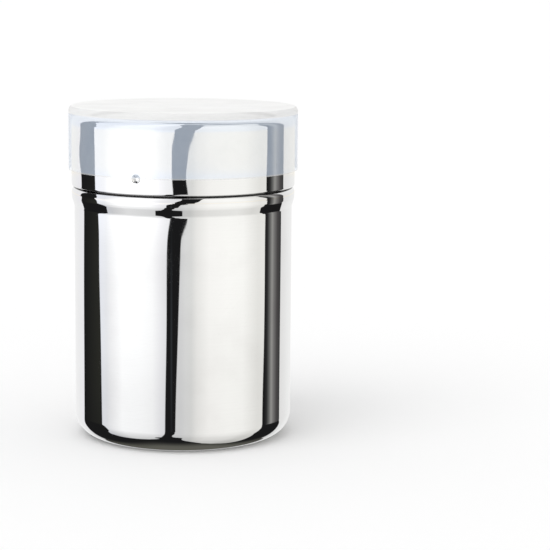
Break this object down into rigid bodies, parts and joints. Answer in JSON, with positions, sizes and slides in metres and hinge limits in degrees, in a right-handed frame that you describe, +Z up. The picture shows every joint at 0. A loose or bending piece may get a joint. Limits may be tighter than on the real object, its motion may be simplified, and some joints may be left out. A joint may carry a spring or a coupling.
{
  "type": "spice shaker",
  "caption": "Cylindrical steel spice shaker with a flat foot, a twist-lock sifter lid with a perforated top and a frosted pull-off dust cover.",
  "frame": {"origin": "centre of the foot, on the surface that the shaker stands on", "axes": "+Z up along the axis of the cup, -Y towards the viewer of the picture"},
  "size_m": [0.0714, 0.0714, 0.1037],
  "materials": {
    "polished_steel": "mirror-polished stainless steel sheet",
    "satin_steel": "plain rolled stainless steel sheet",
    "frosted_plastic": "frosted translucent polyethylene"
  },
  "bodies": {
    "cup": {"cup_shell": "polished_steel"},
    "sifter": {"sifter_disc": "satin_steel"},
    "lid": {"lid_shell": "polished_steel", "retaining_ring": "satin_steel"},
    "cover": {"plastic_cover": "frosted_plastic"}
  },
  "joints": [
    {"name": "lid_lift", "type": "slide", "parent": "cup", "child": "sifter", "axis": [0, 0, 1], "range_m": [0, 0.06]},
    {"name": "lid_twist", "type": "hinge", "parent": "sifter", "child": "lid", "pos_m": [0, 0, 0.09], "axis": [0, 0, 1], "range_deg": [-28, 0]},
    {"name": "cover_lift", "type": "slide", "parent": "lid", "child": "cover", "axis": [0, 0, 1], "range_m": [0, 0.04]}
  ]
}
